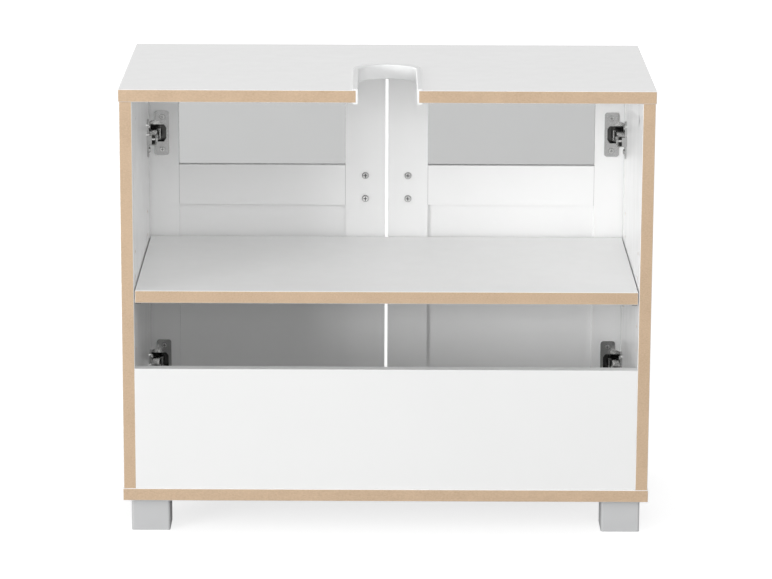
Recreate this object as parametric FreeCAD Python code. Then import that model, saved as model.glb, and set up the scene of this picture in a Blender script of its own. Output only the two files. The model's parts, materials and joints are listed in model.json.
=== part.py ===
import FreeCAD, Part
import math
import os

# Washbasin base cabinet: a flat-pack carcass on four feet, with an open back,
# a loose shelf and two glazed frame doors on concealed cup hinges.
# +X is to the right of someone who faces the doors, the doors face -Y, +Z is up.
# The origin is on the floor, at the middle of the cabinet's depth with its handles.

Vec = FreeCAD.Vector

# ---- carcass boards -------------------------------------------------------
WIDTH = 680.0            # top and bottom boards, side to side
BODY_DEPTH = 328.0       # bottom board and sides, front to back
TOP_NOSE = 4.0           # top board, in front of the doors' outer faces
BOARD = 16.0             # board thickness
ARRIS = 0.5              # eased edges of boards and doors
FOOT_HEIGHT = 43.0
SIDE_HEIGHT = 508.0      # sides, between the bottom and the top board
SIDE_INSET = 1.0         # sides stand this far inside the boards' ends
BACK_INSET = 1.0         # sides' and rear board's rear edges, in from the back plane
REAR_HEIGHT = 160.0      # low rear board

# ---- shelf ----------------------------------------------------------------
SHELF_GAP = 1.2          # each side of the shelf
SHELF_BACK = 1.5         # shelf's rear edge, in from the back plane
SHELF_FRONT = 4.0        # shelf's front edge, behind the sides' front edge

# ---- drain cut-out in the top board --------------------------------------
CUT_WIDTH = 80.0
CUT_DEPTH = 185.0        # from the back plane to the crown of its round end
EDGING_WEB = 2.6         # plastic edging, the strip along the cut face
EDGING_LIP = 4.0         # how far its lips reach over the board
EDGING_LIP_THICK = 1.8
EDGING_REBATE = 0.3      # shallow rebates in the board, under the lips
EDGING_ROUND = 1.6       # rounded edges of its web

# ---- feet -----------------------------------------------------------------
FOOT_SIZE = 50.0
FOOT_INSET = 10.0        # from the bottom board's edges
FOOT_CORNER = 3.0
FOOT_WALL = 3.0
FOOT_ROOF = 4.0
FOOT_SCREW_R = 2.0
FOOT_SCREW_OUT = 9.0     # screws, from the foot's middle

# ---- rows of shelf holes ---------------------------------------------------
HOLE_PITCH = 32.0
HOLE_STEPS = 2           # holes above and below the middle one
HOLE_R = 2.5
HOLE_DEPTH = 10.0
HOLE_REAR = 37.0         # rear row, from the back plane
HOLE_FRONT = 280.0       # front row, from the back plane
HOLE_MIDDLE_RISE = 242.0 # middle hole, above the bottom board
PIN_FIT = 0.05           # pin in its hole, on the radius
PIN_HEAD = 7.0
PIN_HEAD_R = 4.9
PIN_REST = 0.1           # shelf above the pin heads

# ---- cam fittings and dowels ----------------------------------------------
CAM_R = 7.5
CAM_DEPTH = 12.5
CAM_FROM_JOINT = 34.0    # cam's middle, from the end of its side board
CAM_REAR = 68.0          # rear fittings, from the back plane
CAM_FRONT = 260.0
CAM_FIT = 0.05
CAM_SLOT = 1.4
CAM_SLOT_DEPTH = 1.5
BOLT_R = 3.0
BOLT_BORE_FIT = 0.5
BOLT_INTO_BOARD = 11.0
DOWEL_R = 4.0
DOWEL_LENGTH = 30.0
DOWEL_INTO_BOARD = 11.0
DOWEL_FIT = 0.05
DOWEL_STEP = 32.0        # dowel, from its cam fitting

# ---- doors ----------------------------------------------------------------
DOOR_GAP = 4.0           # between the two doors
DOOR_REVEAL = 2.0        # side board that shows beyond a door's outer edge
DOOR_STANDOFF = 2.0      # doors' inner faces, in front of the sides
DOOR_THICK = 16.0
DOOR_TOP_GAP = 2.0       # below the top board
DOOR_BOTTOM_RISE = 1.0   # above the bottom board's underside
STILE = 54.0
TOP_RAIL = 54.0
BOTTOM_RAIL = 54.0
MID_RAIL = 55.0
WINDOW = 91.0            # height of the glazed field
PANEL_THICK = 7.0
PANEL_BACK = 5.5         # panel's inner face, in from the door's inner face
GLASS_THICK = 4.0
GLASS_BACK = 6.0
GROOVE = 8.0             # how far panel, glass and tenons enter their grooves
GROOVE_FIT = 0.3         # between them and the grooves' floors
FRAME_BEVEL = 3.0        # bevel round both fields, on the doors' fronts

# ---- handles --------------------------------------------------------------
HANDLE_PITCH = 32.0
HANDLE_FROM_GAP = 27.0   # handle's middle, from the door's inner edge
HANDLE_BELOW_WINDOW = 30.0
HANDLE_REACH = 24.0      # handle's outer face, in front of the door
HANDLE_R = 4.0
HANDLE_BEND = 9.0        # radius of its two bends
HANDLE_FOOT_R = 6.0
HANDLE_FOOT = 1.5
HANDLE_SCREW_R = 2.0
HANDLE_SCREW_FIT = 0.3
HANDLE_SCREW_HEAD_R = 4.5
HANDLE_SCREW_HEAD = 2.4
HANDLE_SCREW_INTO = 7.0

# ---- concealed hinges: sizes across the side board (u) and behind the door (v)
HINGE_RISE = 100.0       # lower hinge, above the door's lower edge
HINGE_PITCH = 320.0
CUP_R = 17.5
CUP_FIT = 0.05
CUP_DEPTH = 12.5
CUP_WALL = 1.0
CUP_INSET = 8.3          # cup's middle, from the side board's inner face
MOUTH_REACH = 15.0       # mouth in the flange, from the cup's middle sideways
MOUTH_TALL = 24.0
MOUTH_CORNER = 4.5
FLANGE_TALL = 61.0
FLANGE_WIDE = 20.0
FLANGE_THICK = 1.2
FLANGE_CORNER = 4.0
FLANGE_FROM_SIDE = 17.25 # flange's middle, from the side board's inner face
CUP_SCREW_RISE = 22.5
CUP_SCREW_FROM_SIDE = 17.8
SCREW_R = 1.75
SCREW_FIT = 0.05
SCREW_HEAD_R = 3.6
SCREW_HEAD = 1.8
HEAD_BEVEL = 0.45        # screw heads' bevels, as a share of their heights
RECESS_REACH = 0.62      # cross recesses, as shares of the heads' radii and heights
RECESS_WIDTH = 0.26
RECESS_DEPTH = 0.6
SCREW_LENGTH = 12.0
PLATE_SETBACK = 37.0     # mounting plate's middle, behind the side's front edge
PLATE_TALL = 52.0
PLATE_WIDE = 16.0
PLATE_THICK = 2.5
PLATE_BLOCK_U = 7.0      # raised block that the arm sits over
PLATE_BLOCK_LONG = 30.0
PLATE_SCREW_RISE = 16.0
ARM_OUT = 12.5           # arm's outer face, from the side board
ARM_TALL = 15.0
ARM_SHEET = 1.2
ARM_BACK = 49.0          # arm's rear end, behind the doors' inner faces
ARM_FIT = 0.3            # arm, from the plate it sits on
ARM_SCREW_R = 2.5
ARM_SCREW_HEAD_R = 3.8
LINK_THICK = 1.2
LINK_EYE_R = 2.3
LINK_SIDE_FIT = 0.8      # links, from the arm's cheeks
LINK_CHEEK = 1.6         # an outer link's cheeks, across the sheet
LINK_LAYER_GAP = 0.4     # between an outer link's cheeks and the inner link
RIVET_R = 1.2
RIVET_FIT = 0.05
ARM_SCREW_INTO = 4.0     # arm screws, into the block
ARM_SCREW_STEP = 6.0     # arm screws, either side of the plate's middle
ARM_NOSE_V = 7.0         # where the arm's web ends
EAR_R = 2.4
LUG_THICK = 1.5
LUG_GAP = 0.5            # lugs in the cup, from the arm's ears
RIM_CLEAR = 0.8          # cup's rim starts this far inside the side board's face
# Pivots at rest, as (u, v). The inner links' cup ends are free, with clearance.
OUTER_ON_ARM = (14.5, 3.9)
OUTER_ON_CUP = (-4.6, -2.4)
INNER_ON_ARM = (14.5, -7.5)
INNER_ON_CUP = (2.0, -8.0)
NECK_DROP = 2.7          # the outer links' bend, off the line of their pivots
NECK_START = 1.9         # where the bend starts and ends, along that line
NECK_END = 8.0
BRIDGE = (0.25, 0.7)     # web between an outer link's cheeks, along its straight stretch


# ---- derived places ---------------------------------------------------------
HALF = WIDTH / 2
SIDE_OUT = HALF - SIDE_INSET
SIDE_IN = SIDE_OUT - BOARD
FLOOR_Z = FOOT_HEIGHT + BOARD
TOP_Z = FLOOR_Z + SIDE_HEIGHT
BACK_Y = (BODY_DEPTH + DOOR_STANDOFF + DOOR_THICK + HANDLE_REACH) / 2
SIDE_FRONT = BACK_Y - BODY_DEPTH
DOOR_IN = SIDE_FRONT - DOOR_STANDOFF
DOOR_OUT = DOOR_IN - DOOR_THICK
TOP_DEPTH = BACK_Y - DOOR_OUT + TOP_NOSE
DOOR_X0 = DOOR_GAP / 2
DOOR_X1 = SIDE_OUT - DOOR_REVEAL
DOOR_Z0 = FOOT_HEIGHT + DOOR_BOTTOM_RISE
DOOR_Z1 = TOP_Z - DOOR_TOP_GAP
FIELD_X0 = DOOR_X0 + STILE
FIELD_X1 = DOOR_X1 - STILE
PANEL_Z0 = DOOR_Z0 + BOTTOM_RAIL
WINDOW_Z1 = DOOR_Z1 - TOP_RAIL
WINDOW_Z0 = WINDOW_Z1 - WINDOW
PANEL_Z1 = WINDOW_Z0 - MID_RAIL
PIN_Z = FLOOR_Z + HOLE_MIDDLE_RISE
SHELF_Z = PIN_Z + PIN_HEAD_R + PIN_REST
CUP_X = SIDE_IN - CUP_INSET
HANDLE_X = DOOR_X0 + HANDLE_FROM_GAP
HANDLE_Z = WINDOW_Z0 - HANDLE_BELOW_WINDOW
HINGE_Z = (DOOR_Z0 + HINGE_RISE, DOOR_Z0 + HINGE_RISE + HINGE_PITCH)
PLATE_V = DOOR_STANDOFF + PLATE_SETBACK
X_AXIS = Vec(1, 0, 0)
Y_AXIS = Vec(0, 1, 0)
Z_AXIS = Vec(0, 0, 1)


def behind(depth):
    """Y of a place this far in from the back plane."""
    return BACK_Y - depth


def box(x0, x1, y0, y1, z0, z1):
    return Part.makeBox(x1 - x0, y1 - y0, z1 - z0, Vec(x0, y0, z0))


def rod(radius, length, start, direction):
    return Part.makeCylinder(radius, length, start, direction)


def fuse(shapes):
    return shapes[0].fuse(shapes[1:]).removeSplitter()


def mirrored(shape):
    return shape.mirror(Vec(0, 0, 0), X_AXIS)


def both_sides(shape):
    return [shape, mirrored(shape)]


def save(name, *shapes):
    solids = [solid for shape in shapes for solid in shape.Solids]
    result = solids[0] if len(solids) == 1 else Part.makeCompound(solids)
    result.exportStep("parts/" + name + ".step")
    print(name, len(solids), "solids", round(result.Volume), "mm3", result.isValid())


def save_pair(name, *shapes):
    """The +X side is to the right of someone who faces the doors."""
    save("right_" + name, *shapes)
    save("left_" + name, *[mirrored(shape) for shape in shapes])


def eased_box(x0, x1, y0, y1, z0, z1):
    """A board with eased edges."""
    board = box(x0, x1, y0, y1, z0, z1)
    return board.makeChamfer(ARRIS, board.Edges)


def recess(top, direction, head_r, head):
    """The two crossed slots in a screw head."""
    ways = [axis for axis in (X_AXIS, Y_AXIS, Z_AXIS) if abs(axis.dot(direction)) < 0.5]
    slots = []
    for long_way, narrow_way in (ways, ways[::-1]):
        reach = long_way * (head_r * RECESS_REACH)
        width = narrow_way * (head_r * RECESS_WIDTH)
        start = top - reach - width * 0.5
        far = start + reach * 2
        outline = Part.makePolygon([start, far, far + width, start + width, start])
        slots.append(Part.Face(outline).extrude(direction * (head * RECESS_DEPTH)))
    return slots


def pan_screw(seat, direction, head_r, head, shank_r, length):
    """A screw whose head sits on seat and whose shank runs along direction."""
    cap = rod(head_r, head, seat, direction * -1)
    crown = [edge for edge in cap.Edges if edge.Closed and (edge.CenterOfMass - seat).Length > head / 2]
    cap = cap.makeChamfer(head * HEAD_BEVEL, crown)
    screw = fuse([cap, rod(shank_r, length, seat, direction)])
    return screw.cut(recess(seat - direction * head, direction, head_r, head))


# ---- the carcass ------------------------------------------------------------
def cutout_plan(radius, z0, z1):
    """The drain cut-out's U shape, with this half width, open at the back."""
    crown_y = behind(CUT_DEPTH - CUT_WIDTH / 2)
    straight = box(-radius, radius, crown_y, BACK_Y, z0, z1)
    return fuse([straight, rod(radius, z1 - z0, Vec(0, crown_y, z0), Z_AXIS)])


def cam_places():
    """Cam fittings in the right-hand side board: y, z and the way to the joint."""
    places = []
    for depth in (CAM_REAR, CAM_FRONT):
        places.append((behind(depth), FLOOR_Z + CAM_FROM_JOINT, -1))
        places.append((behind(depth), TOP_Z - CAM_FROM_JOINT, 1))
    return places


def board_middle_x():
    return SIDE_IN + BOARD / 2


def bolt(y, z, way, spare):
    start = Vec(board_middle_x(), y, z + way * BOLT_R)
    length = CAM_FROM_JOINT - BOLT_R + BOLT_INTO_BOARD
    return rod(BOLT_R + spare, length, start, Z_AXIS * way)


def cam(y, z, way):
    depth = CAM_DEPTH - CAM_FIT
    disc = rod(CAM_R - CAM_FIT, depth, Vec(SIDE_IN, y, z), X_AXIS)
    channel = rod(BOLT_R + BOLT_BORE_FIT, 2 * CAM_R, Vec(board_middle_x(), y, z), Z_AXIS * way)
    arm = CAM_R / 2
    slot = box(SIDE_IN, SIDE_IN + CAM_SLOT_DEPTH, y - arm, y + arm, z - CAM_SLOT / 2, z + CAM_SLOT / 2)
    cross = box(SIDE_IN, SIDE_IN + CAM_SLOT_DEPTH, y - CAM_SLOT / 2, y + CAM_SLOT / 2, z - arm, z + arm)
    return disc.cut([channel, slot, cross])


def upright_dowel(y, z, way, spare):
    """A dowel across the joint between a side board's end and a lying board."""
    joint_z = z + way * CAM_FROM_JOINT
    start = Vec(board_middle_x(), y - DOWEL_STEP, joint_z + way * DOWEL_INTO_BOARD)
    return rod(DOWEL_R + spare, DOWEL_LENGTH, start, Z_AXIS * -way)


def rear_dowels(spare):
    """Dowels that join the low rear board's end to the right-hand side board."""
    y = behind(BACK_INSET + BOARD / 2)
    start_x = SIDE_IN + DOWEL_INTO_BOARD
    heights = (FLOOR_Z + REAR_HEIGHT / 4, FLOOR_Z + REAR_HEIGHT * 3 / 4)
    return [rod(DOWEL_R + spare, DOWEL_LENGTH, Vec(start_x, y, z), X_AXIS * -1) for z in heights]


def foot_centres():
    inset = FOOT_INSET + FOOT_SIZE / 2
    x = HALF - inset
    return {"rear": (x, behind(inset)), "front": (x, behind(BODY_DEPTH - inset))}


def foot_screw_places():
    return [(x + step, y) for x, y in foot_centres().values() for step in (-FOOT_SCREW_OUT, FOOT_SCREW_OUT)]


def foot_screw(x, y, spare):
    seat = Vec(x, y, FOOT_HEIGHT - FOOT_ROOF)
    if spare:
        return rod(FOOT_SCREW_R + spare, SCREW_LENGTH, seat, Z_AXIS)
    return pan_screw(seat, Z_AXIS, SCREW_HEAD_R, SCREW_HEAD, FOOT_SCREW_R, SCREW_LENGTH)


def foot(x, y):
    half = FOOT_SIZE / 2
    inner = half - FOOT_WALL
    block = box(x - half, x + half, y - half, y + half, 0, FOOT_HEIGHT)
    block = block.makeFillet(FOOT_CORNER, [e for e in block.Edges if e.BoundBox.ZLength > FOOT_HEIGHT / 2])
    hollow = box(x - inner, x + inner, y - inner, y + inner, 0, FOOT_HEIGHT - FOOT_ROOF)
    rib = box(x - FOOT_WALL / 2, x + FOOT_WALL / 2, y - inner, y + inner, 0, FOOT_HEIGHT - FOOT_ROOF)
    shell = fuse([block.cut(hollow), rib])
    return shell.cut([foot_screw(sx, sy, SCREW_FIT) for sx, sy in foot_screw_places()])


def pin_hole(y, z):
    return rod(HOLE_R, HOLE_DEPTH, Vec(SIDE_IN, y, z), X_AXIS)


def shelf_pin(y):
    shank = rod(HOLE_R - PIN_FIT, HOLE_DEPTH - PIN_FIT, Vec(SIDE_IN, y, PIN_Z), X_AXIS)
    return fuse([shank, rod(PIN_HEAD_R, PIN_HEAD, Vec(SIDE_IN, y, PIN_Z), X_AXIS * -1)])


def side_panel():
    board = eased_box(SIDE_IN, SIDE_OUT, SIDE_FRONT, behind(BACK_INSET), FLOOR_Z, TOP_Z)
    cuts = []
    for depth in (HOLE_REAR, HOLE_FRONT):
        for step in range(-HOLE_STEPS, HOLE_STEPS + 1):
            cuts.append(pin_hole(behind(depth), PIN_Z + step * HOLE_PITCH))
    for y, z, way in cam_places():
        cuts.append(rod(CAM_R, CAM_DEPTH, Vec(SIDE_IN, y, z), X_AXIS))
        cuts.append(bolt(y, z, way, BOLT_BORE_FIT))
        cuts.append(upright_dowel(y, z, way, DOWEL_FIT))
    cuts += rear_dowels(DOWEL_FIT)
    cuts += [plate_screw(z, SCREW_FIT) for z in plate_screw_heights()]
    return board.cut(cuts)


def top_panel():
    """The top board, cut out for the drain, with a shallow rebate under each lip of the edging."""
    board = eased_box(-HALF, HALF, behind(TOP_DEPTH), BACK_Y, TOP_Z, TOP_Z + BOARD)
    rebate = CUT_WIDTH / 2 + EDGING_LIP
    return board.cut([
        cutout_plan(CUT_WIDTH / 2, TOP_Z, TOP_Z + BOARD),
        cutout_plan(rebate, TOP_Z, TOP_Z + EDGING_REBATE),
        cutout_plan(rebate, TOP_Z + BOARD - EDGING_REBATE, TOP_Z + BOARD),
    ])


def make_carcass():
    joints = []
    for y, z, way in cam_places():
        joints += both_sides(bolt(y, z, way, DOWEL_FIT))
        joints += both_sides(upright_dowel(y, z, way, DOWEL_FIT))
    save("top_panel", top_panel().cut(joints))
    bottom = eased_box(-HALF, HALF, SIDE_FRONT, BACK_Y, FOOT_HEIGHT, FLOOR_Z)
    screws = [foot_screw(x, y, SCREW_FIT) for x, y in foot_screw_places()]
    save("bottom_panel", bottom.cut(joints + screws + [mirrored(screw) for screw in screws]))
    save_pair("side_panel", side_panel())
    rear_z1 = FLOOR_Z + REAR_HEIGHT
    rear = eased_box(-SIDE_IN, SIDE_IN, behind(BACK_INSET + BOARD), behind(BACK_INSET), FLOOR_Z, rear_z1)
    rear_cuts = rear_dowels(DOWEL_FIT)
    save("rear_panel", rear.cut(rear_cuts + [mirrored(cut) for cut in rear_cuts]))
    shelf_x = SIDE_IN - SHELF_GAP
    shelf_front = SIDE_FRONT + SHELF_FRONT
    save("shelf", eased_box(-shelf_x, shelf_x, shelf_front, behind(SHELF_BACK), SHELF_Z, SHELF_Z + BOARD))


def make_edging():
    """A U profile pushed over the cut edge: a web between two thin lips."""
    low = TOP_Z - EDGING_LIP_THICK
    high = TOP_Z + BOARD + EDGING_LIP_THICK
    half = CUT_WIDTH / 2
    whole = cutout_plan(half + EDGING_LIP, low, high).cut(cutout_plan(half - EDGING_WEB, low, high))
    inner = half - EDGING_WEB
    crown = behind(CUT_DEPTH) + EDGING_WEB
    flat = [edge for edge in whole.Edges if edge.BoundBox.ZLength < EDGING_WEB]
    rim = [edge for edge in flat if max(edge.BoundBox.XMax, -edge.BoundBox.XMin) <= inner + ARRIS]
    rim = [edge for edge in rim if edge.BoundBox.YLength > EDGING_WEB and edge.BoundBox.YMin > crown - ARRIS]
    whole = whole.makeFillet(EDGING_ROUND, rim)
    z0 = TOP_Z + EDGING_REBATE
    z1 = TOP_Z + BOARD - EDGING_REBATE
    board = cutout_plan(half + EDGING_LIP + BOARD, z0, z1)
    save("cutout_edging", whole.cut(board.cut(cutout_plan(half, z0, z1))))


def make_small_carcass_parts():
    for place, (x, y) in foot_centres().items():
        save_pair(place + "_foot", foot(x, y))
    screws = [foot_screw(x, y, 0) for x, y in foot_screw_places()]
    save("foot_screws", *screws, *[mirrored(screw) for screw in screws])
    pins = [shelf_pin(behind(depth)) for depth in (HOLE_REAR, HOLE_FRONT)]
    save("shelf_pins", *pins, *[mirrored(pin) for pin in pins])
    cams = [cam(*place) for place in cam_places()]
    save("cam_locks", *cams, *[mirrored(lock) for lock in cams])
    bolts = [bolt(*place, 0) for place in cam_places()]
    save("cam_bolts", *bolts, *[mirrored(pin) for pin in bolts])
    dowels = [upright_dowel(*place, 0) for place in cam_places()] + rear_dowels(0)
    save("dowels", *dowels, *[mirrored(dowel) for dowel in dowels])


# ---- doors, drawn on the +X side -------------------------------------------
def door_layer(x0, x1, back, thick, z0, z1):
    """A slab inside the door's thickness, its inner face this far in from the door's."""
    return box(x0, x1, DOOR_IN - back - thick, DOOR_IN - back, z0, z1)


def door_block():
    """The whole door's outline, with its eased edges."""
    return eased_box(DOOR_X0, DOOR_X1, DOOR_OUT, DOOR_IN, DOOR_Z0, DOOR_Z1)


def grooves():
    panel = door_layer(FIELD_X0 - GROOVE, FIELD_X1 + GROOVE, PANEL_BACK, PANEL_THICK,
                       PANEL_Z0 - GROOVE, PANEL_Z1 + GROOVE)
    glass = door_layer(FIELD_X0 - GROOVE, FIELD_X1 + GROOVE, GLASS_BACK, GLASS_THICK,
                       WINDOW_Z0 - GROOVE, WINDOW_Z1 + GROOVE)
    return [panel, glass]


def rail_heights():
    """Each rail: its lower edge, its upper edge, and its tenon's two ends."""
    return {
        "rail_bottom": (DOOR_Z0, PANEL_Z0, DOOR_Z0 + GROOVE, PANEL_Z0 - GROOVE),
        "rail_middle": (PANEL_Z1, WINDOW_Z0, PANEL_Z1 + GROOVE, WINDOW_Z0 - GROOVE),
        "rail_top": (WINDOW_Z1, DOOR_Z1, WINDOW_Z1 + GROOVE, DOOR_Z1 - GROOVE),
    }


def bevel(z0, z1):
    """The tapered space that bevels the front edges round one field."""
    wires = []
    for grow, y in ((0, DOOR_OUT + FRAME_BEVEL), (2 * FRAME_BEVEL, DOOR_OUT - FRAME_BEVEL)):
        x0 = FIELD_X0 - grow
        x1 = FIELD_X1 + grow
        low = z0 - grow
        high = z1 + grow
        corners = [Vec(x0, y, low), Vec(x1, y, low), Vec(x1, y, high), Vec(x0, y, high)]
        wires.append(Part.makePolygon(corners + corners[:1]))
    return Part.makeLoft(wires, True, True)


def bevels():
    return [bevel(PANEL_Z0, PANEL_Z1), bevel(WINDOW_Z0, WINDOW_Z1)]


def mortises():
    cuts = []
    for heights in rail_heights().values():
        z0, z1 = heights[2:]
        cuts.append(door_layer(FIELD_X0 - GROOVE, FIELD_X0, PANEL_BACK, PANEL_THICK, z0, z1))
        cuts.append(door_layer(FIELD_X1, FIELD_X1 + GROOVE, PANEL_BACK, PANEL_THICK, z0, z1))
    return cuts


def handle_screw_bores(radius):
    heights = (HANDLE_Z - HANDLE_PITCH / 2, HANDLE_Z + HANDLE_PITCH / 2)
    return [rod(radius, DOOR_THICK, Vec(HANDLE_X, DOOR_IN, z), Y_AXIS * -1) for z in heights]


def stile_outer():
    stile = box(FIELD_X1, DOOR_X1, DOOR_OUT, DOOR_IN, DOOR_Z0, DOOR_Z1)
    cuts = grooves() + bevels() + mortises()
    for z in HINGE_Z:
        cuts.append(rod(CUP_R + CUP_FIT, CUP_DEPTH + CUP_FIT, Vec(CUP_X, DOOR_IN, z), Y_AXIS * -1))
        cuts += [cup_screw(z, rise, SCREW_FIT) for rise in (-CUP_SCREW_RISE, CUP_SCREW_RISE)]
    return stile.cut(cuts).common(door_block())


def stile_inner():
    stile = box(DOOR_X0, FIELD_X0, DOOR_OUT, DOOR_IN, DOOR_Z0, DOOR_Z1)
    bores = handle_screw_bores(HANDLE_SCREW_R + HANDLE_SCREW_FIT)
    return stile.cut(grooves() + bevels() + mortises() + bores).common(door_block())


def rail(z0, z1, tenon_z0, tenon_z1):
    body = box(FIELD_X0, FIELD_X1, DOOR_OUT, DOOR_IN, z0, z1).cut(grooves() + bevels())
    reach = GROOVE - GROOVE_FIT
    tenon = door_layer(FIELD_X0 - reach, FIELD_X1 + reach, PANEL_BACK, PANEL_THICK, tenon_z0, tenon_z1)
    return fuse([body, tenon]).common(door_block())


def field_board(back, thick, z0, z1):
    """A panel or a pane that sits in the grooves all round."""
    reach = GROOVE - GROOVE_FIT
    return door_layer(FIELD_X0 - reach, FIELD_X1 + reach, back, thick, z0 - reach, z1 + reach)


def handle():
    """A bow of round bar with a small flange under each end."""
    out = DOOR_OUT - HANDLE_REACH + HANDLE_R
    z0 = HANDLE_Z - HANDLE_PITCH / 2
    z1 = HANDLE_Z + HANDLE_PITCH / 2
    slant = HANDLE_BEND * (1 - math.sqrt(0.5))
    points = [
        Vec(HANDLE_X, DOOR_OUT, z0),
        Vec(HANDLE_X, out + HANDLE_BEND, z0),
        Vec(HANDLE_X, out + slant, z0 + slant),
        Vec(HANDLE_X, out, z0 + HANDLE_BEND),
        Vec(HANDLE_X, out, z1 - HANDLE_BEND),
        Vec(HANDLE_X, out + slant, z1 - slant),
        Vec(HANDLE_X, out + HANDLE_BEND, z1),
        Vec(HANDLE_X, DOOR_OUT, z1),
    ]
    path = Part.Wire([
        Part.LineSegment(points[0], points[1]).toShape(),
        Part.Arc(points[1], points[2], points[3]).toShape(),
        Part.LineSegment(points[3], points[4]).toShape(),
        Part.Arc(points[4], points[5], points[6]).toShape(),
        Part.LineSegment(points[6], points[7]).toShape(),
    ])
    section = Part.Wire([Part.makeCircle(HANDLE_R, points[0], Y_AXIS)])
    bow = path.makePipeShell([section], True, False)
    feet = [rod(HANDLE_FOOT_R, HANDLE_FOOT, Vec(HANDLE_X, DOOR_OUT, z), Y_AXIS * -1) for z in (z0, z1)]
    reach = HANDLE_SCREW_INTO + SCREW_FIT
    bore = HANDLE_SCREW_R + SCREW_FIT
    threads = [rod(bore, reach, Vec(HANDLE_X, DOOR_OUT, z), Y_AXIS * -1) for z in (z0, z1)]
    return fuse([bow] + feet).cut(threads)


def handle_screws():
    length = DOOR_THICK + HANDLE_SCREW_INTO
    heights = (HANDLE_Z - HANDLE_PITCH / 2, HANDLE_Z + HANDLE_PITCH / 2)
    return [pan_screw(Vec(HANDLE_X, DOOR_IN, z), Y_AXIS * -1, HANDLE_SCREW_HEAD_R, HANDLE_SCREW_HEAD,
                      HANDLE_SCREW_R, length) for z in heights]


def make_doors():
    save_pair("door_stile_outer", stile_outer())
    save_pair("door_stile_inner", stile_inner())
    for name, heights in rail_heights().items():
        save_pair("door_" + name, rail(*heights))
    save_pair("door_panel", field_board(PANEL_BACK, PANEL_THICK, PANEL_Z0, PANEL_Z1))
    save_pair("door_glass", field_board(GLASS_BACK, GLASS_THICK, WINDOW_Z0, WINDOW_Z1))
    save_pair("handle", handle())
    save_pair("handle_screws", *handle_screws())


# ---- concealed hinges, drawn on the +X side --------------------------------
def place(u, v, z):
    """u is measured from the side board towards the middle, v behind the door."""
    return Vec(SIDE_IN - u, DOOR_IN + v, z)


def uv_box(u0, u1, v0, v1, z0, z1):
    return box(SIDE_IN - u1, SIDE_IN - u0, DOOR_IN + v0, DOOR_IN + v1, z0, z1)


def uv_strip(start, end, radius, z0, z1):
    """A plate with round ends about two (u, v) points; radius is half its width."""
    a = place(start[0], start[1], z0)
    b = place(end[0], end[1], z0)
    across = (b - a).normalize().cross(Z_AXIS) * radius
    outline = Part.makePolygon([a + across, b + across, b - across, a - across, a + across])
    middle = Part.Face(outline).extrude(Z_AXIS * (z1 - z0))
    return fuse([middle] + [rod(radius, z1 - z0, point, Z_AXIS) for point in (a, b)])


def rivet(point, z, half_length, radius):
    return rod(radius, 2 * half_length, place(point[0], point[1], z - half_length), Z_AXIS)


def plate_screw_heights():
    return [z + rise for z in HINGE_Z for rise in (-PLATE_SCREW_RISE, PLATE_SCREW_RISE)]


def plate_screw(z, spare):
    seat = place(PLATE_THICK, PLATE_V, z)
    if spare:
        return rod(SCREW_R + spare, SCREW_LENGTH, seat, X_AXIS)
    return pan_screw(seat, X_AXIS, SCREW_HEAD_R, SCREW_HEAD, SCREW_R, SCREW_LENGTH)


def cup_screw(z, rise, spare):
    seat = place(CUP_SCREW_FROM_SIDE, FLANGE_THICK, z + rise)
    if spare:
        return rod(SCREW_R + spare, SCREW_LENGTH, seat, Y_AXIS * -1)
    return pan_screw(seat, Y_AXIS * -1, SCREW_HEAD_R, SCREW_HEAD, SCREW_R, SCREW_LENGTH)


def arm_screw(z, v, spare):
    """Clamps the arm onto the mounting plate's block."""
    seat = place(ARM_OUT, v, z)
    length = ARM_OUT - PLATE_BLOCK_U + ARM_SCREW_INTO
    if spare:
        return rod(ARM_SCREW_R + spare, length, seat, X_AXIS)
    return pan_screw(seat, X_AXIS, ARM_SCREW_HEAD_R, SCREW_HEAD, ARM_SCREW_R, length)


def arm_screw_setbacks():
    return (PLATE_V - ARM_SCREW_STEP, PLATE_V + ARM_SCREW_STEP)


def mounting_plate(z):
    """A winged plate under a raised block that the arm clips over."""
    half = PLATE_WIDE / 2
    straight = PLATE_TALL / 2 - half
    parts = [uv_box(0, PLATE_THICK, PLATE_V - half, PLATE_V + half, z - straight, z + straight)]
    for rise in (-straight, straight):
        parts.append(rod(half, PLATE_THICK, place(0, PLATE_V, z + rise), X_AXIS * -1))
    block_z = ARM_TALL / 2 - ARM_SHEET - ARM_FIT
    block_v = PLATE_BLOCK_LONG / 2
    parts.append(uv_box(0, PLATE_BLOCK_U, PLATE_V - block_v, PLATE_V + block_v, z - block_z, z + block_z))
    cuts = [plate_screw(height, SCREW_FIT) for height in plate_screw_heights()]
    cuts += [arm_screw(z, v, SCREW_FIT) for v in arm_screw_setbacks()]
    return fuse(parts).cut(cuts)


def hinge_arm(z):
    """Folded sheet: a web over two cheeks, which end in ears that dip into the cup."""
    half = ARM_TALL / 2
    inside = half - ARM_SHEET
    body = uv_box(PLATE_THICK + ARM_FIT, ARM_OUT, ARM_NOSE_V, ARM_BACK, z - half, z + half)
    hollow = uv_box(0, ARM_OUT - ARM_SHEET, ARM_NOSE_V, ARM_BACK, z - inside, z + inside)
    neck = (ARM_OUT - EAR_R, ARM_NOSE_V + EAR_R)
    ears = []
    for low, high in ((z - half, z - inside), (z + inside, z + half)):
        for start, end in ((neck, OUTER_ON_ARM), (OUTER_ON_ARM, INNER_ON_ARM)):
            ears.append(uv_strip(start, end, EAR_R, low, high))
    cuts = [rivet(pivot, z, half, RIVET_R) for pivot in (INNER_ON_ARM, OUTER_ON_ARM)]
    cuts += [arm_screw(z, v, SCREW_FIT) for v in arm_screw_setbacks()]
    return fuse([body.cut(hollow)] + ears).cut(cuts)


def link_half_width():
    return ARM_TALL / 2 - ARM_SHEET - LINK_SIDE_FIT


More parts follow.
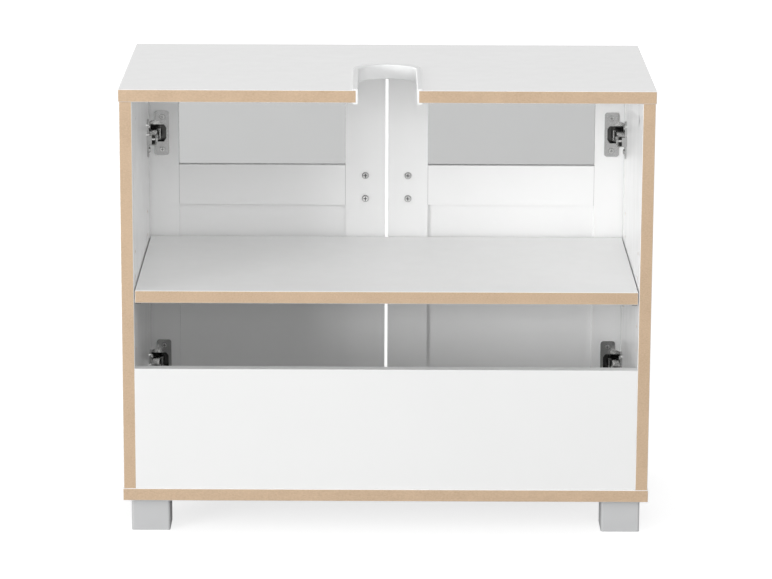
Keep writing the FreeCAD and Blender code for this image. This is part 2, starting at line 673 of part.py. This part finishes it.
def outer_link_points():
    """The bent centre line of an outer link, from its cup pivot to its arm pivot."""
    cup = Vec(OUTER_ON_CUP[0], OUTER_ON_CUP[1], 0)
    arm = Vec(OUTER_ON_ARM[0], OUTER_ON_ARM[1], 0)
    along = (arm - cup).normalize()
    drop = Vec(along.y, -along.x, 0) * NECK_DROP
    points = [cup, cup + along * NECK_START + drop, cup + along * NECK_END + drop, arm]
    return [(point.x, point.y) for point in points]


def outer_link(z):
    """Two bent cheeks, joined by a web that stays clear of the inner link."""
    half = link_half_width()
    points = outer_link_points()
    parts = []
    for low, high in ((z - half, z - half + LINK_CHEEK), (z + half - LINK_CHEEK, z + half)):
        parts += [uv_strip(a, b, LINK_THICK / 2, low, high) for a, b in zip(points, points[1:])]
        for pivot in (points[0], points[-1]):
            parts.append(rod(LINK_EYE_R, high - low, place(pivot[0], pivot[1], low), Z_AXIS))
    knee, pivot = points[2:]
    start, end = [tuple(k + (p - k) * share for k, p in zip(knee, pivot)) for share in BRIDGE]
    parts.append(uv_strip(start, end, LINK_THICK / 2, z - half, z + half))
    return fuse(parts).cut([rivet(point, z, half, RIVET_R + RIVET_FIT) for point in (points[0], points[-1])])


def inner_link(z):
    """A narrow bar between the outer link's cheeks."""
    half = link_half_width() - LINK_CHEEK - LINK_LAYER_GAP
    ends = (INNER_ON_ARM, INNER_ON_CUP)
    parts = [uv_strip(INNER_ON_ARM, INNER_ON_CUP, LINK_THICK / 2, z - half, z + half)]
    parts += [rivet(point, z, half, LINK_EYE_R) for point in ends]
    bar = fuse(parts).cut(rivet(INNER_ON_ARM, z, half, RIVET_R + RIVET_FIT))
    return bar.cut(rivet(INNER_ON_CUP, z, half, RIVET_R))


def lug_outer():
    return ARM_TALL / 2 + LUG_GAP + LUG_THICK


def hinge_cup(z):
    """A pressed bowl under a screwed flange, with two lugs for the outer link's rivet."""
    middle = place(CUP_INSET, 0, z)
    mouth = uv_box(CUP_INSET - MOUTH_REACH, CUP_INSET + MOUTH_REACH, 0, FLANGE_THICK,
                   z - MOUTH_TALL / 2, z + MOUTH_TALL / 2)
    mouth = mouth.makeFillet(MOUTH_CORNER, [e for e in mouth.Edges if e.BoundBox.YLength > FLANGE_THICK / 2])
    bowl = rod(CUP_R, CUP_DEPTH, middle, Y_AXIS * -1)
    bowl = bowl.cut(rod(CUP_R - CUP_WALL, CUP_DEPTH - CUP_WALL, middle, Y_AXIS * -1))
    half = FLANGE_WIDE / 2
    tall = FLANGE_TALL / 2
    flange = uv_box(FLANGE_FROM_SIDE - half, FLANGE_FROM_SIDE + half, 0, FLANGE_THICK, z - tall, z + tall)
    corners = [e for e in flange.Edges if e.BoundBox.YLength > FLANGE_THICK / 2]
    flange = flange.makeFillet(FLANGE_CORNER, corners)
    rim = rod(CUP_R, FLANGE_THICK, middle, Y_AXIS)
    rim = rim.cut(uv_box(-CUP_R, RIM_CLEAR, 0, FLANGE_THICK, z - CUP_R, z + CUP_R))
    flange = fuse([flange, rim]).cut(mouth)
    lugs = []
    for side in (-1, 1):
        inner = z + side * (lug_outer() - LUG_THICK)
        outer = z + side * lug_outer()
        low, high = sorted((inner, outer))
        root = (OUTER_ON_CUP[0], CUP_WALL / 2 - CUP_DEPTH + EAR_R)
        lugs.append(uv_strip(root, OUTER_ON_CUP, EAR_R, low, high))
    lugs = [lug.common(rod(CUP_R, CUP_DEPTH, middle, Y_AXIS * -1)) for lug in lugs]
    cuts = [cup_screw(z, rise, SCREW_FIT) for rise in (-CUP_SCREW_RISE, CUP_SCREW_RISE)]
    cuts.append(rivet(OUTER_ON_CUP, z, lug_outer(), RIVET_R))
    return fuse([bowl, flange] + lugs).cut(cuts)


def make_hinges():
    for name, z in zip(("lower", "upper"), HINGE_Z):
        save_pair(name + "_mounting_plate", mounting_plate(z))
        save_pair(name + "_hinge_arm", hinge_arm(z))
        save_pair(name + "_hinge_cup", hinge_cup(z))
    screws = [plate_screw(z, 0) for z in plate_screw_heights()]
    screws += [arm_screw(z, v, 0) for z in HINGE_Z for v in arm_screw_setbacks()]
    save("hinge_screws", *screws, *[mirrored(screw) for screw in screws])
    half = ARM_TALL / 2
    rivets = [rivet(pivot, z, half, RIVET_R) for z in HINGE_Z for pivot in (INNER_ON_ARM, OUTER_ON_ARM)]
    save("arm_rivets", *rivets, *[mirrored(pin) for pin in rivets])
    save_pair("inner_links", *[inner_link(z) for z in HINGE_Z])
    save_pair("outer_links", *[outer_link(z) for z in HINGE_Z])
    half = link_half_width() - LINK_CHEEK - LINK_LAYER_GAP
    save_pair("inner_link_rivets", *[rivet(INNER_ON_CUP, z, half, RIVET_R) for z in HINGE_Z])
    save_pair("cup_rivets", *[rivet(OUTER_ON_CUP, z, lug_outer(), RIVET_R) for z in HINGE_Z])
    rises = (-CUP_SCREW_RISE, CUP_SCREW_RISE)
    save_pair("cup_screws", *[cup_screw(z, rise, 0) for z in HINGE_Z for rise in rises])


os.makedirs("parts", exist_ok=True)
make_carcass()
make_edging()
make_small_carcass_parts()
make_doors()
make_hinges()
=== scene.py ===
import json
import math

import bpy
from mathutils import Matrix, Vector


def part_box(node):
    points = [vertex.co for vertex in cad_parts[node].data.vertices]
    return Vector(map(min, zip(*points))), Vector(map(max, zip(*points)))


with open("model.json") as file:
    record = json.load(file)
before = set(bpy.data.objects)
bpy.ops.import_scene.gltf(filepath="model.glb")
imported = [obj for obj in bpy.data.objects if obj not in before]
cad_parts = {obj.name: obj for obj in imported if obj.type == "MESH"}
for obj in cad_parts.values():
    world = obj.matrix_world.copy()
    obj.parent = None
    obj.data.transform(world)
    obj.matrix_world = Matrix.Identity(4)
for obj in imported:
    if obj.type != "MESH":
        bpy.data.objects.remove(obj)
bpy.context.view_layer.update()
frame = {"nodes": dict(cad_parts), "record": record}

# Camera: behind the open back and a little above, as the photograph was taken.
# Place in metres, angles in degrees, lens and sensor in millimetres.
CAMERA_PLACE = (0.0076, 4.55, 1.3714)
CAMERA_PITCH = 13.477
CAMERA_ROLL = 0.253
CAMERA_YAW = -0.09
CAMERA_LENS = 163.9
CAMERA_SENSOR = 36.0
CAMERA_REACH = 60.0

# Lamps: name, place, width and height in metres, power in watts. All of them aim at one point.
LAMP_AIM = (0.0, 0.0, 0.34)
LAMPS = (
    ("key_lamp", (4.42, 3.98, 1.12), (3.0, 1.3), 200.0),
    ("top_lamp", (-0.67, 3.77, 3.55), (3.6, 2.4), 42.0),
    ("fill_lamp", (-0.60, 5.74, 1.99), (3.2, 2.8), 54.0),
    ("side_lamp", (-5.04, 3.15, 1.18), (2.0, 1.8), 22.0),
    ("front_lamp", (2.69, -3.98, 1.72), (3.0, 2.4), 52.0),
)
AMBIENT = 0.50             # strength of the world where it lights, and not where it is seen
FLOOR_LIFT = 0.72          # glow added to the floor where it is seen
FLOOR_TONE = (0.42, 0.42, 0.42)
FLOOR_SIZE = 14.0

# Colours are linear RGB.
WHITE = (0.920, 0.921, 0.919)
# a darker copy of the white foil for the rear panel, painted shade that holds back its light
REAR_WHITE_SHADED = (0.815, 0.818, 0.815)
RAW_BOARD = (0.565, 0.415, 0.282)
RAW_DARK = (0.430, 0.287, 0.172)
EDGING_WHITE = (0.860, 0.865, 0.865)
FOOT_GREY = (0.530, 0.535, 0.540)
NICKEL = (0.560, 0.560, 0.555)
NICKEL_SHADED = (0.340, 0.338, 0.332)    # arms and links: a darker copy of the nickel, with painted shade and dark reflection
SCREW_STEEL = (0.700, 0.700, 0.695)
RECESS_SHADE = (0.035, 0.035, 0.036)          # painted shade in the recesses of the screws and round their seats
BOWL_SHADE = (0.085, 0.084, 0.082)     # painted shade in the bowls of the hinge cups
ZINC = (0.520, 0.525, 0.535)
STEEL = (0.600, 0.600, 0.595)
BEECH = (0.600, 0.400, 0.230)
BEECH_DARK = (0.430, 0.265, 0.135)
GLASS = (0.515, 0.518, 0.517)

# Places, depths and the depths of bumps, in metres.
BACK_PLANE = 0.185         # the boards' raw rear edges lie in it or just before it
EDGE_BAND = 0.006          # how far before it a face still counts as such an edge
JOINT_SHADE_WIDTH = 0.0005        # width of the painted shade lines at the ends of a door's rails
BOWL_TOP = -0.1451         # just inside the doors' inner faces, where the cups' bowls and their painted shade start
SCREW_TOP = 0.0002         # depth below a screw head's top, above which it keeps its plain steel colour
SCREW_SHADE = 0.0014       # depth at which the head is fully in painted shade
SKIN_BUMP = 0.0003
METAL_BUMP = 0.0002
WOOD_BUMP = 0.0004

# Limits for the parts of a face's normal that say which way it looks.
LOOKS_BACK = 0.75
LOOKS_FORWARD = -0.9
LOOKS_SIDEWAYS = 0.5

PEEL = 0.012               # orange peel of the foil, as a share of a raw fibre's height
EVEN = (1.0, 1.0, 1.0)     # noise that isn't stretched
UPRIGHT = (1.0, 1.0, 0.03) # noise stretched to long upright streaks
FINE_GRAIN = 900.0         # noise scale of plated, moulded and satin surfaces

# The colour sockets of a Mix node, whose names its value sockets share.
COLOUR_A = 6
COLOUR_B = 7
COLOUR_OUT = 2


class Material:
    """A node material with one Principled shader and short calls to wire it."""

    def __init__(self, name):
        self.data = bpy.data.materials.new(name)
        self.data.use_nodes = True
        self.tree = self.data.node_tree
        self.shader = self.tree.nodes["Principled BSDF"]
        self.place = self.add("ShaderNodeTexCoord")

    def add(self, kind, **settings):
        node = self.tree.nodes.new(kind)
        for key, value in settings.items():
            setattr(node, key, value)
        return node

    def wire(self, source, target):
        self.tree.links.new(source, target)

    def fixed(self, **values):
        """Sets constants on the shader's own sockets."""
        for key, value in values.items():
            self.shader.inputs[key.replace("_", " ")].default_value = value

    def drive(self, socket, source):
        """Wires a source to one of the shader's sockets."""
        self.wire(source, self.shader.inputs[socket])

    def math(self, operation, first, second=0.0):
        """A Math node over two values, each a number or a socket."""
        node = self.add("ShaderNodeMath", operation=operation)
        for socket, value in zip(node.inputs, (first, second)):
            if isinstance(value, (int, float)):
                socket.default_value = value
            else:
                self.wire(value, socket)
        return node.outputs[0]

    def stretched(self, scale):
        """Object coordinates, stretched by a vector."""
        node = self.add("ShaderNodeMapping")
        self.wire(self.place.outputs["Object"], node.inputs["Vector"])
        node.inputs["Scale"].default_value = scale
        return node.outputs["Vector"]

    def noise(self, scale, detail=3.0, stretch=EVEN, rough=0.55):
        """Noise from 0 to 1, of a scale per metre."""
        node = self.add("ShaderNodeTexNoise")
        self.wire(self.stretched(stretch), node.inputs["Vector"])
        node.inputs["Scale"].default_value = scale
        node.inputs["Detail"].default_value = detail
        node.inputs["Roughness"].default_value = rough
        return node.outputs["Fac"]

    def cells(self, scale, stretch=EVEN):
        """Distance to the middle of a random cell."""
        node = self.add("ShaderNodeTexVoronoi")
        self.wire(self.stretched(stretch), node.inputs["Vector"])
        node.inputs["Scale"].default_value = scale
        return node.outputs["Distance"]

    def spread(self, value, low, high, start=0.3, end=0.7):
        """Maps a value between start and end onto low to high."""
        node = self.add("ShaderNodeMapRange")
        self.wire(value, node.inputs["Value"])
        for key, amount in zip(("From Min", "From Max", "To Min", "To Max"), (start, end, low, high)):
            node.inputs[key].default_value = amount
        return node.outputs["Result"]

    def ramp(self, value, *stops):
        """Colour ramp with stops of (place, colour)."""
        node = self.add("ShaderNodeValToRGB")
        self.wire(value, node.inputs["Fac"])
        points = node.color_ramp.elements
        while len(points) < len(stops):
            points.new(0.5)
        for point, (place, colour) in zip(points, stops):
            point.position = place
            point.color = (*colour, 1.0)
        return node.outputs["Color"]

    def blend(self, factor, first, second):
        """Colour mix of two colour sockets."""
        node = self.add("ShaderNodeMix", data_type="RGBA")
        self.wire(factor, node.inputs["Factor"])
        self.wire(first, node.inputs[COLOUR_A])
        self.wire(second, node.inputs[COLOUR_B])
        return node.outputs[COLOUR_OUT]

    def mix_value(self, factor, first, second):
        """Value mix of two value sockets."""
        node = self.add("ShaderNodeMix", data_type="FLOAT")
        self.wire(factor, node.inputs["Factor"])
        self.wire(first, node.inputs["A"])
        self.wire(second, node.inputs["B"])
        return node.outputs["Result"]

    def bump(self, height, strength, depth):
        """Bump from a height between 0 and 1, of a depth in metres."""
        node = self.add("ShaderNodeBump")
        node.inputs["Strength"].default_value = strength
        node.inputs["Distance"].default_value = depth
        self.wire(height, node.inputs["Height"])
        self.drive("Normal", node.outputs["Normal"])

    def axis_parts(self, output):
        """X, Y and Z of an output of the coordinates node."""
        node = self.add("ShaderNodeSeparateXYZ")
        self.wire(self.place.outputs[output], node.inputs["Vector"])
        return node.outputs


def shade(colour, amount):
    """A colour made lighter or darker by a factor."""
    return tuple(channel * amount for channel in colour)


def white_skin(mat, tone):
    """Semi-gloss white foil: colour, roughness and height sockets."""
    cloud = mat.noise(scale=5.0, detail=2.0)
    colour = mat.ramp(cloud, (0.35, shade(tone, 0.988)), (0.65, tone))
    smear = mat.noise(scale=38.0, detail=4.0, stretch=(1.0, 1.0, 0.35))
    gloss = mat.spread(smear, low=0.235, high=0.270)
    peel = mat.math("MULTIPLY", mat.noise(scale=420.0, detail=2.0), PEEL)
    return colour, gloss, peel


def fibre_skin(mat):
    """Raw fibreboard: colour, roughness and height sockets."""
    fibres = mat.noise(scale=900.0, detail=5.0, stretch=(1.0, 1.0, 2.4), rough=0.7)
    flecks = mat.noise(scale=430.0, detail=3.0, stretch=(1.0, 1.0, 1.6), rough=0.6)
    specks = mat.cells(scale=700.0, stretch=(1.0, 1.0, 1.8))
    drift = mat.noise(scale=26.0)
    fine = mat.math("ADD", mat.math("MULTIPLY", fibres, 0.40), mat.math("MULTIPLY", flecks, 0.40))
    mixed = mat.math("ADD", fine, mat.math("MULTIPLY", drift, 0.20))
    stops = ((0.30, RAW_DARK), (0.46, shade(RAW_BOARD, 0.93)), (0.60, shade(RAW_BOARD, 1.06)))
    colour = mat.ramp(mixed, *stops)
    rough = mat.spread(specks, low=0.62, high=0.85, start=0.0, end=1.0)
    return colour, rough, fibres


def above(mat, value, limit):
    """1 where a value is greater than a limit."""
    return mat.math("GREATER_THAN", value, limit)


def rear_edge_mask(mat):
    """1 on the raw faces that look backwards at the back plane."""
    facing = above(mat, mat.axis_parts("Normal")["Y"], LOOKS_BACK)
    near = above(mat, mat.axis_parts("Object")["Y"], BACK_PLANE - EDGE_BAND)
    return mat.math("MULTIPLY", facing, near)


def side_edge_mask(mat):
    """1 on a side board's raw edges and in its bores, 0 on its faces and banded front edge."""
    across = mat.math("ABSOLUTE", mat.axis_parts("Normal")["X"])
    edge = mat.math("LESS_THAN", across, LOOKS_SIDEWAYS)
    behind = above(mat, mat.axis_parts("Normal")["Y"], LOOKS_FORWARD)
    return mat.math("MULTIPLY", edge, behind)


def joint_shade_mask(mat):
    """1 on the thin lines of painted shade where a door's rails meet its stiles."""
    across = mat.math("ABSOLUTE", mat.axis_parts("Object")["X"])
    inner = mat.math("LESS_THAN", across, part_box("right_door_stile_inner")[1][0] + JOINT_SHADE_WIDTH)
    outer = above(mat, across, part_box("right_door_stile_outer")[0][0] - JOINT_SHADE_WIDTH)
    return mat.math("MAXIMUM", inner, outer)


def rail_material():
    """White lacquer with a line of painted shade at each end, where it meets the stiles."""
    mat = Material("white_rail")
    colour, gloss, height = white_skin(mat, WHITE)
    # painted shade standing in for the gap of the joint, which the mesh lacks
    joint_shade = mat.ramp(height, (0.0, shade(WHITE, 0.50)), (1.0, shade(WHITE, 0.55)))
    mat.drive("Base Color", mat.blend(joint_shade_mask(mat), colour, joint_shade))
    mat.drive("Roughness", gloss)
    mat.bump(height, strength=0.5, depth=SKIN_BUMP)
    return mat.data


def board_material(name, mask_maker=None, tone=WHITE):
    """White foil, and raw fibreboard where a mask is 1."""
    mat = Material(name)
    colour, gloss, height = white_skin(mat, tone)
    if mask_maker:
        mask = mask_maker(mat)
        raw_colour, raw_rough, raw_height = fibre_skin(mat)
        colour = mat.blend(mask, colour, raw_colour)
        gloss = mat.mix_value(mask, gloss, raw_rough)
        height = mat.mix_value(mask, height, raw_height)
    mat.drive("Base Color", colour)
    mat.drive("Roughness", gloss)
    mat.bump(height, strength=0.5, depth=SKIN_BUMP)
    return mat.data


def plastic_material(name, tone, low, high, grain, strength):
    """Moulded plastic, of a roughness from low to high."""
    mat = Material(name)
    cloud = mat.noise(scale=9.0)
    mat.drive("Base Color", mat.ramp(cloud, (0.35, shade(tone, 0.97)), (0.65, tone)))
    mat.drive("Roughness", mat.spread(mat.noise(scale=60.0, detail=4.0), low, high))
    mat.bump(mat.noise(grain, detail=2.0), strength, depth=SKIN_BUMP)
    return mat.data


def stained(mat, tone):
    """A metal's colour with slight stains, and their noise."""
    stain = mat.noise(scale=70.0, detail=4.0)
    return mat.ramp(stain, (0.3, shade(tone, 0.94)), (0.7, tone)), stain


def metal_material(name, tone, low, high, strength=0.02, grain=FINE_GRAIN, stretch=EVEN):
    """Metal, of a roughness from low to high, in streaks where its noise is stretched."""
    mat = Material(name)
    mat.fixed(Metallic=1.0)
    mat.drive("Base Color", stained(mat, tone)[0])
    streaks = mat.noise(grain, detail=4.0, stretch=stretch, rough=0.6)
    mat.drive("Roughness", mat.spread(streaks, low, high))
    mat.bump(streaks, strength, depth=METAL_BUMP)
    return mat.data


def cup_material():
    """Plated steel, with painted shade in the bowl."""
    mat = Material("nickel_cup")
    mat.fixed(Metallic=1.0)
    plated, stain = stained(mat, NICKEL)
    # painted shade in the cup's bowl, where little light reaches
    bowl_shade = mat.ramp(stain, (0.3, BOWL_SHADE), (0.7, shade(BOWL_SHADE, 1.4)))
    bowl = mat.math("LESS_THAN", mat.axis_parts("Object")["Y"], BOWL_TOP)
    mat.drive("Base Color", mat.blend(bowl, plated, bowl_shade))
    mat.drive("Roughness", mat.spread(mat.noise(FINE_GRAIN, detail=4.0), low=0.20, high=0.28))
    return mat.data


def screw_material(name, node):
    """Plated screws that lie along Y: plain steel on top of the heads, painted shade in their recesses and
    round their seats.
    """
    mat = Material(name)
    mat.fixed(Metallic=1.0)
    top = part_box(node)[1][1]
    along = mat.axis_parts("Object")["Y"]
    height = mat.spread(along, low=0.0, high=1.0, start=top - SCREW_SHADE, end=top - SCREW_TOP)
    # painted shade, deepening from the head's top down to its seat
    mat.drive("Base Color", mat.ramp(height, (0.0, RECESS_SHADE), (1.0, SCREW_STEEL)))
    mat.drive("Roughness", mat.spread(mat.noise(FINE_GRAIN, detail=4.0), low=0.22, high=0.32))
    return mat.data


def beech_material():
    """Unfinished beech."""
    mat = Material("beech")
    grain = mat.noise(scale=260.0, detail=4.0, stretch=(1.0, 1.0, 0.12), rough=0.65)
    mat.drive("Base Color", mat.ramp(grain, (0.3, BEECH_DARK), (0.55, BEECH), (0.75, shade(BEECH, 1.12))))
    mat.drive("Roughness", mat.spread(grain, low=0.55, high=0.75))
    mat.bump(grain, strength=0.3, depth=WOOD_BUMP)
    return mat.data


def glass_material():
    """Grey glass with a light satin finish."""
    mat = Material("satin_glass")
    mat.fixed(Transmission_Weight=1.0, IOR=1.46)
    tint = mat.noise(scale=11.0, detail=2.0)
    mat.drive("Base Color", mat.ramp(tint, (0.35, shade(GLASS, 0.985)), (0.65, GLASS)))
    mat.drive("Roughness", mat.spread(mat.noise(FINE_GRAIN, detail=2.0), low=0.14, high=0.20))
    mat.bump(mat.noise(scale=1400.0, detail=2.0), strength=0.04, depth=METAL_BUMP)
    return mat.data


def seen_by(tree, *outputs):
    """1 for the listed kinds of ray, and 0 for the others."""
    path = tree.nodes.new("ShaderNodeLightPath")
    total = path.outputs[outputs[0]]
    for name in outputs[1:]:
        node = tree.nodes.new("ShaderNodeMath")
        node.operation = "MAXIMUM"
        tree.links.new(total, node.inputs[0])
        tree.links.new(path.outputs[name], node.inputs[1])
        total = node.outputs[0]
    return total


def floor_material():
    """Pale floor: diffuse, and lifted to white for what sees it, so that only shadows show."""
    mat = Material("floor")
    tree = mat.tree
    cloud = mat.noise(scale=1.6, detail=2.0)
    mat.drive("Base Color", mat.ramp(cloud, (0.3, FLOOR_TONE), (0.7, shade(FLOOR_TONE, 1.02))))
    mat.fixed(Roughness=0.9)
    glow = mat.add("ShaderNodeEmission")
    seen = seen_by(tree, "Is Camera Ray", "Is Transmission Ray")
    mat.wire(mat.math("MULTIPLY", seen, FLOOR_LIFT), glow.inputs["Strength"])
    both = mat.add("ShaderNodeAddShader")
    mat.wire(mat.shader.outputs["BSDF"], both.inputs[0])
    mat.wire(glow.outputs["Emission"], both.inputs[1])
    mat.wire(both.outputs["Shader"], tree.nodes["Material Output"].inputs["Surface"])
    return mat.data


def make_floor():
    """A plain square floor under the cabinet."""
    mesh = bpy.data.meshes.new("floor")
    half = FLOOR_SIZE / 2
    corners = [(-half, -half, 0), (half, -half, 0), (half, half, 0), (-half, half, 0)]
    mesh.from_pydata(corners, [], [(0, 1, 2, 3)])
    floor = bpy.data.objects.new("floor", mesh)
    bpy.context.scene.collection.objects.link(floor)
    mesh.materials.append(floor_material())


def make_world():
    """White where it is seen, a softer level where it lights the object."""
    world = bpy.data.worlds.new("world")
    bpy.context.scene.world = world
    world.use_nodes = True
    tree = world.node_tree
    back = tree.nodes["Background"]
    back.inputs["Color"].default_value = (1.0, 1.0, 1.0, 1.0)
    level = tree.nodes.new("ShaderNodeMapRange")
    seen = seen_by(tree, "Is Camera Ray", "Is Glossy Ray", "Is Transmission Ray")
    tree.links.new(seen, level.inputs["Value"])
    level.inputs["To Min"].default_value = AMBIENT
    level.inputs["To Max"].default_value = 1.0
    tree.links.new(level.outputs["Result"], back.inputs["Strength"])


def make_lamp(name, place, size, power):
    """A rectangular lamp that looks at the cabinet."""
    data = bpy.data.lights.new(name, "AREA")
    data.shape = "RECTANGLE"
    data.size, data.size_y = size
    data.energy = power
    lamp = bpy.data.objects.new(name, data)
    lamp.location = place
    lamp.rotation_euler = (Vector(LAMP_AIM) - Vector(place)).to_track_quat("-Z", "Y").to_euler()
    bpy.context.scene.collection.objects.link(lamp)


def make_camera():
    """The photograph's view. A yaw of 0 looks straight at the open back."""
    data = bpy.data.cameras.new("camera")
    data.lens = CAMERA_LENS
    data.sensor_width = CAMERA_SENSOR
    data.clip_end = CAMERA_REACH
    camera = bpy.data.objects.new("camera", data)
    turn = Matrix.Rotation(math.radians(180.0 + CAMERA_YAW), 4, "Z")
    turn = turn @ Matrix.Rotation(math.radians(90.0 - CAMERA_PITCH), 4, "X")
    turn = turn @ Matrix.Rotation(math.radians(CAMERA_ROLL), 4, "Z")
    camera.matrix_world = Matrix.Translation(CAMERA_PLACE) @ turn
    bpy.context.scene.collection.objects.link(camera)
    bpy.context.scene.camera = camera


def dress(names, material):
    """Gives CAD nodes a material through their own slots."""
    for name in names:
        node = frame["nodes"][name]
        if not node.material_slots:
            node.data.materials.append(material)
        for slot in node.material_slots:
            slot.material = material


def by_slot(slot, *words):
    """The nodes of one of the record's slots, or only those with one of the words in their names."""
    nodes = [row["node"] for row in frame["record"]["subparts"] if row["material_slot"] == slot]
    return [node for node in nodes if not words or any(word in node for word in words)]


def dress_all():
    """Whole slots first, and then the nodes in them that need a material of their own."""
    dress(by_slot("white_board"), board_material("white_board", rear_edge_mask))
    # the rear panel's white foil, darkened as painted shade
    dress(by_slot("white_board", "rear_panel"), board_material("white_rear_board_shaded", tone=REAR_WHITE_SHADED))
    dress(by_slot("white_board", "side_panel"), board_material("white_side_board", side_edge_mask))
    dress(by_slot("white_door"), board_material("white_door"))
    dress(by_slot("white_door", "rail"), rail_material())
    dress(by_slot("satin_glass"), glass_material())
    edging = plastic_material("white_plastic", EDGING_WHITE, low=0.38, high=0.48, grain=500.0, strength=0.02)
    dress(by_slot("white_plastic"), edging)
    feet = plastic_material("grey_plastic", FOOT_GREY, low=0.36, high=0.48, grain=FINE_GRAIN, strength=0.22)
    dress(by_slot("grey_plastic"), feet)
    dress(by_slot("nickel"), metal_material("nickel", NICKEL, low=0.17, high=0.24))
    # a darker copy of the nickel for the arms and links, standing in for their shade and dark reflections
    shaded_nickel = metal_material("nickel_shaded", NICKEL_SHADED, low=0.14, high=0.20)
    dress(by_slot("nickel", "hinge_arm", "links"), shaded_nickel)
    dress(by_slot("nickel", "hinge_cup"), cup_material())
    dress(by_slot("nickel", "handle_screws"), screw_material("handle_screw", "right_handle_screws"))
    dress(by_slot("nickel", "cup_screws"), screw_material("cup_screw", "right_cup_screws"))
    cast = metal_material("zinc", ZINC, low=0.38, high=0.56, strength=0.35, grain=1100.0)
    dress(by_slot("zinc"), cast)
    brushed = metal_material("brushed_metal", STEEL, low=0.22, high=0.42,
                             strength=0.25, grain=2200.0, stretch=UPRIGHT)
    dress(by_slot("brushed_metal"), brushed)
    dress(by_slot("beech"), beech_material())


bpy.context.scene.view_settings.view_transform = "Standard"
make_camera()
make_world()
for lamp_row in LAMPS:
    make_lamp(*lamp_row)
make_floor()
dress_all()
